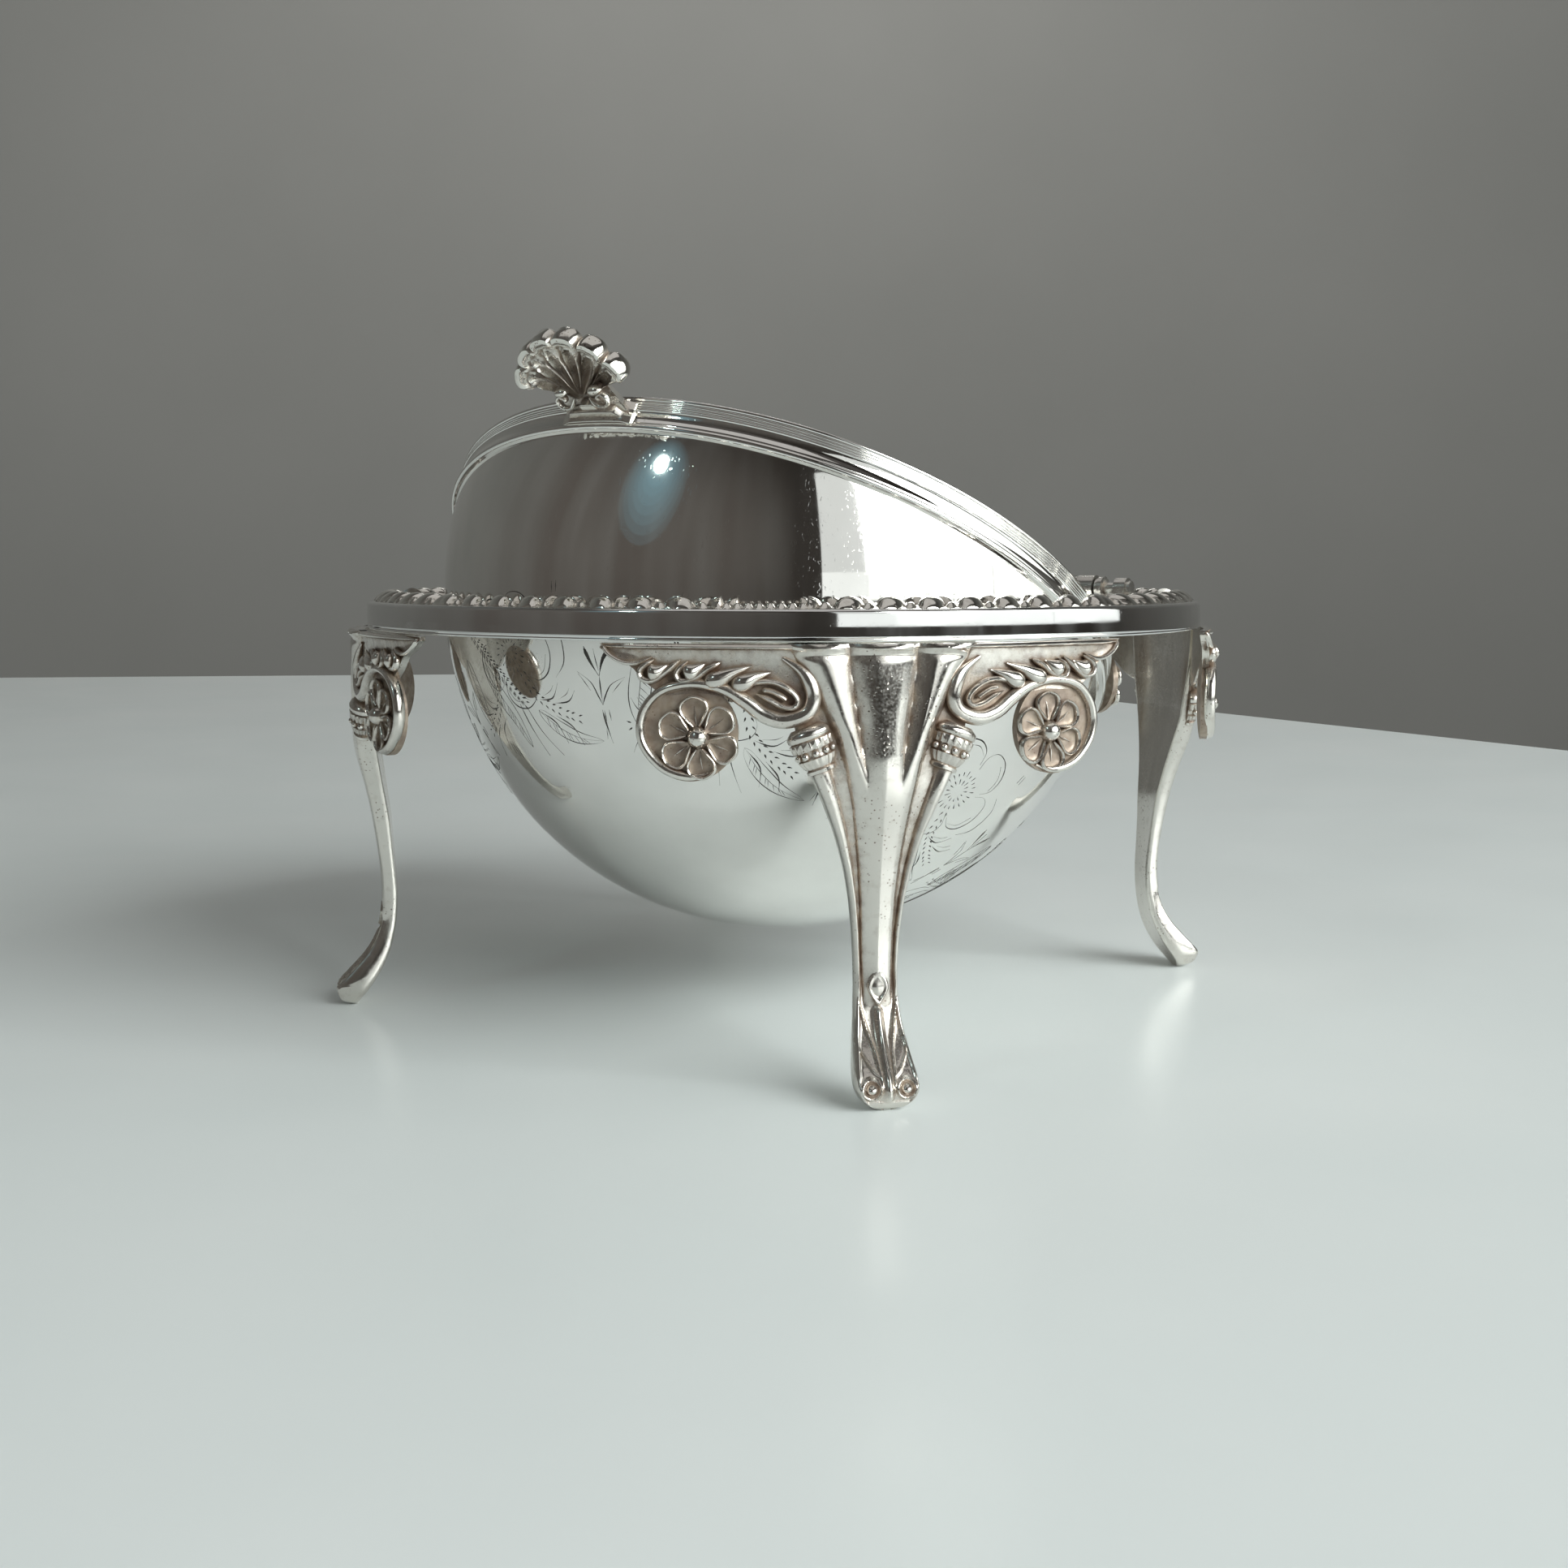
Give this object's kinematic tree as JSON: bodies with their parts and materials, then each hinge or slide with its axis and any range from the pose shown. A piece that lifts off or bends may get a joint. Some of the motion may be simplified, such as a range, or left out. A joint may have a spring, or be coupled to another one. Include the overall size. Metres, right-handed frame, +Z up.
{
  "type": "sugar bowl",
  "caption": "Silver-plated sugar bowl hung in a gadrooned ring on scroll legs, with an engraved dome cover that rolls back under the bowl on side pivots.",
  "frame": {"origin": "on the table under the middle of the ring, between the four feet", "axes": "+Z up, X along the cover's pivot line, -Y towards the side where the cover rolls back"},
  "size_m": [0.15, 0.15, 0.1156],
  "materials": {
    "plate": "polished silver plate with fine wear",
    "casting": "cast silver plate with dark tarnish in the recesses",
    "hardware": "plated pins, washers and nuts, dull"
  },
  "bodies": {
    "stand": {"ring_flange": "plate", "sugar_bowl": "plate", "gadroon_border": "casting", "leg_front_right": "casting", "leg_back_right": "casting", "leg_back_left": "casting", "leg_front_left": "casting", "pivot_post_right": "plate", "pivot_post_left": "plate", "pivot_pin_right": "hardware", "pivot_pin_left": "hardware", "outer_washer_right": "hardware", "outer_washer_left": "hardware", "inner_washer_right": "hardware", "inner_washer_left": "hardware", "bowl_nut_right": "hardware", "bowl_nut_left": "hardware", "bowl_lug_right": "plate", "bowl_lug_left": "plate"},
    "cover": {"lid_dome": "plate", "lid_band": "plate", "lid_boss_right": "plate", "lid_boss_left": "plate", "thumb_piece": "casting", "thumb_rivets": "hardware"}
  },
  "joints": [
    {"name": "cover_roll", "type": "hinge", "parent": "stand", "child": "cover", "pos_m": [0, 0, 0.07493], "axis": [1, 0, 0], "range_deg": [-149.5, 22]}
  ]
}
